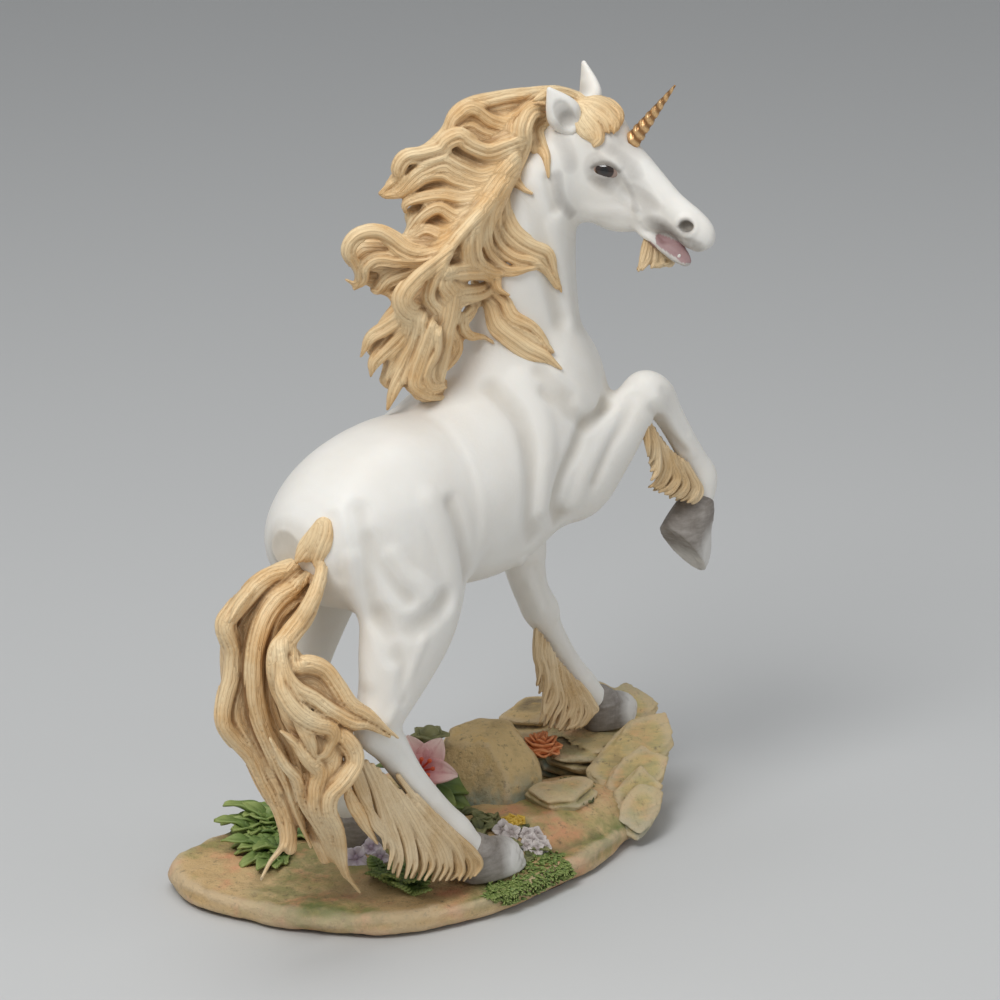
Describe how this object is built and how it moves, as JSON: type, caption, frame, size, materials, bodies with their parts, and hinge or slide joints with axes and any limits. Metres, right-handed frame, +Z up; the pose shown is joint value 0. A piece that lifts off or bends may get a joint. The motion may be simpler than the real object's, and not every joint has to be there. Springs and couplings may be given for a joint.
{
  "type": "unicorn figurine",
  "caption": "Rearing unicorn figurine with flowing mane and tail and a spiral horn, on a rocky base with flowers, cast resin with a hand painted finish.",
  "frame": {"origin": "centre of the base's outline, on the underside of the felt pad", "axes": "+X along the horse's body towards its chest, +Y towards the horse's left side, +Z up"},
  "size_m": [0.2404, 0.1286, 0.2799],
  "materials": {
    "resin_ivory": "satin ivory paint over cast resin",
    "resin_hair": "satin straw paint with brown wash",
    "resin_feather": "satin tan paint with brown wash",
    "resin_hoof": "satin grey brown paint",
    "resin_gold": "antique gold paint",
    "resin_eye": "gloss black brown",
    "resin_sand": "matt sand paint with dark wash",
    "resin_rock": "matt rock paint with dark wash",
    "resin_leaf": "matt leaf green paint",
    "resin_pink": "satin pink paint",
    "resin_red": "satin red paint",
    "resin_orange": "satin orange paint",
    "resin_violet": "satin pale violet paint",
    "resin_yellow": "satin yellow paint",
    "felt": "short pile felt"
  },
  "bodies": {
    "root": {"felt_pad": "felt", "base_slab": "resin_sand", "sand_mound": "resin_sand", "boulder": "resin_rock", "rear_rock": "resin_rock", "ledge_core": "resin_rock", "flat_stone": "resin_rock", "ledge_slab_upper": "resin_rock", "ledge_slab_front": "resin_rock", "ledge_slab_middle": "resin_rock", "ledge_slab_lower": "resin_rock", "torso": "resin_ivory", "neck": "resin_ivory", "head": "resin_ivory", "lower_jaw": "resin_ivory", "ear_right": "resin_ivory", "ear_left": "resin_ivory", "right_forearm": "resin_ivory", "right_fore_cannon": "resin_ivory", "left_forearm": "resin_ivory", "left_fore_cannon": "resin_ivory", "right_thigh": "resin_ivory", "right_hind_cannon": "resin_ivory", "left_thigh": "resin_ivory", "left_hind_cannon": "resin_ivory", "eyes": "resin_eye", "horn": "resin_gold", "mane_root": "resin_hair", "mane_crest": "resin_hair", "mane_upper": "resin_hair", "mane_middle": "resin_hair", "mane_lower": "resin_hair", "mane_withers": "resin_hair", "mane_long_near": "resin_hair", "mane_near": "resin_hair", "forelock": "resin_hair", "tail_dock": "resin_hair", "tail_outer": "resin_hair", "tail_inner": "resin_hair", "tail_side": "resin_hair", "tail_lower": "resin_hair", "beard": "resin_feather", "right_fore_feather": "resin_feather", "left_fore_feather": "resin_feather", "right_hind_feather": "resin_feather", "right_fore_hoof": "resin_hoof", "left_fore_hoof": "resin_hoof", "right_hind_hoof": "resin_hoof", "left_hind_hoof": "resin_hoof", "lily_leaves": "resin_leaf", "ferns": "resin_leaf", "moss_patch": "resin_leaf", "lily_petals": "resin_pink", "lily_bud": "resin_pink", "lily_stamens": "resin_red", "rose": "resin_orange", "violet_blossoms": "resin_violet", "pale_blossoms": "resin_violet", "yellow_blossoms": "resin_yellow"}
  },
  "joints": []
}
